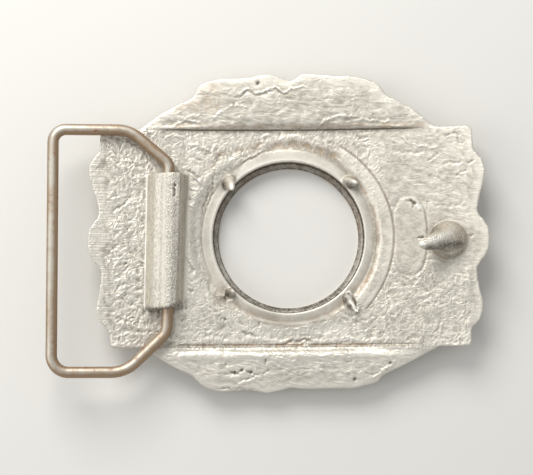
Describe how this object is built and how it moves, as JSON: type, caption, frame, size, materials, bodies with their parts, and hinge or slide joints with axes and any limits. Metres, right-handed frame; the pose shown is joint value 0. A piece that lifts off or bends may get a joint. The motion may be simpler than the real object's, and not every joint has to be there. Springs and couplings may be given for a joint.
{
  "type": "belt buckle blank",
  "caption": "Curved cast pewter belt buckle blank with scalloped ends, a round coin seat with prongs, a hook, and a bent wire belt loop hinged in a barrel on the back.",
  "frame": {"origin": "on the axis of the coin hole, in the plane of the front ring's face that the part lies on", "axes": "+X along the banner from the belt loop to the hook, +Y across it, +Z out of the back, away from the front face"},
  "size_m": [0.0884, 0.0651, 0.0126],
  "materials": {
    "pewter": null,
    "loop_wire": "drawn steel wire, dulled and browned by tarnish"
  },
  "bodies": {
    "casting": {"buckle_casting": "pewter"},
    "loop": {"belt_loop": "loop_wire"}
  },
  "joints": [
    {"name": "loop_hinge", "type": "hinge", "parent": "casting", "child": "loop", "pos_m": [-0.02425, 0, 0.0069], "axis": [0, 1, 0], "range_deg": [0, 170]}
  ]
}
